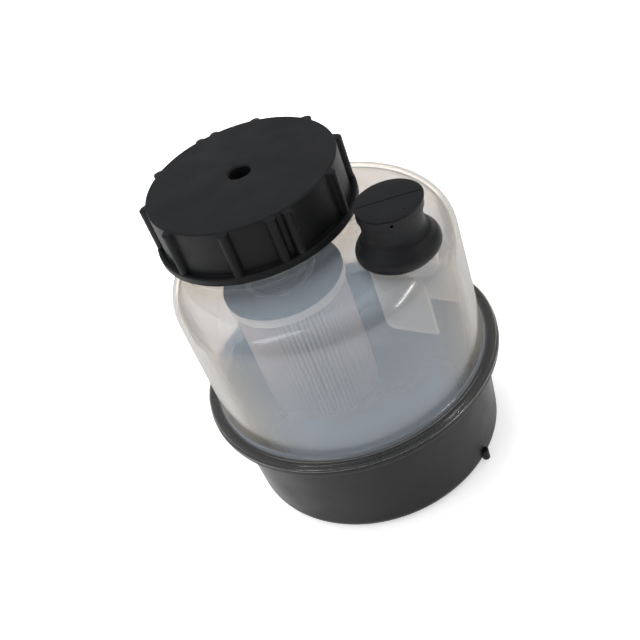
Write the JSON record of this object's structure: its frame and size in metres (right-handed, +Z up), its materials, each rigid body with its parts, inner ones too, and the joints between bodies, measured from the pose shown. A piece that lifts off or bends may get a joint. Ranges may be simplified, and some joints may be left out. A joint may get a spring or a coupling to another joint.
{
  "type": "power steering reservoir",
  "caption": "Round oil reservoir: black base cup with hose spigots, translucent dome with off-centre screw cap and rubber breather, and a spring-held return filter inside.",
  "frame": {"origin": "centre of the base cup's underside", "axes": "+Z up along the dome's axis, +Y towards the hose spigots and the mounting faces"},
  "size_m": [0.15, 0.169, 0.1648],
  "materials": {
    "black_base": "moulded, satin",
    "translucent_dome": "natural, translucent",
    "brass_insert": "turned",
    "black_cap": "moulded, fine grain",
    "seal_rubber": "moulded",
    "spring_steel": "drawn wire",
    "plate_plastic": "moulded",
    "plated_sheet": "pressed, zinc plated",
    "filter_paper": "pleated, resin treated",
    "breather_rubber": "moulded"
  },
  "bodies": {
    "housing": {"lower_housing": "black_base", "upper_housing": "translucent_dome", "mounting_inserts": "brass_insert"},
    "filter": {"spring_plate": "plate_plastic", "filter_top_cap": "plated_sheet", "pleated_paper": "filter_paper", "filter_core": "plated_sheet", "filter_bottom_cap": "plated_sheet", "filter_seal": "seal_rubber", "pressure_spring": "spring_steel"},
    "seal_ring": {"cap_seal": "seal_rubber"},
    "cap": {"filler_cap": "black_cap"},
    "breather": {"breather_cap": "breather_rubber"}
  },
  "joints": [
    {"name": "cap_turn", "type": "hinge", "parent": "seal_ring", "child": "cap", "pos_m": [-0.01637, 0.01755, 0.15], "axis": [0, 0, 1], "range_deg": [0, 720]},
    {"name": "cap_lift", "type": "slide", "parent": "housing", "child": "seal_ring", "axis": [0, 0, 1], "range_m": [0, 0.0081], "deforming": ["pressure_spring"]},
    {"name": "filter_bypass", "type": "slide", "parent": "housing", "child": "filter", "axis": [0, 0, 1], "range_m": [0, 0.006], "stiffness_N_per_m": 2000, "springref_m": -0.012, "deforming": ["pressure_spring"]},
    {"name": "breather_pull", "type": "slide", "parent": "housing", "child": "breather", "axis": [0, 0, 1], "range_m": [0, 0.022]}
  ],
  "couplings": [
    {"joint": "cap_lift", "follows": "cap_turn", "m_per_rad": 0.00063662}
  ]
}
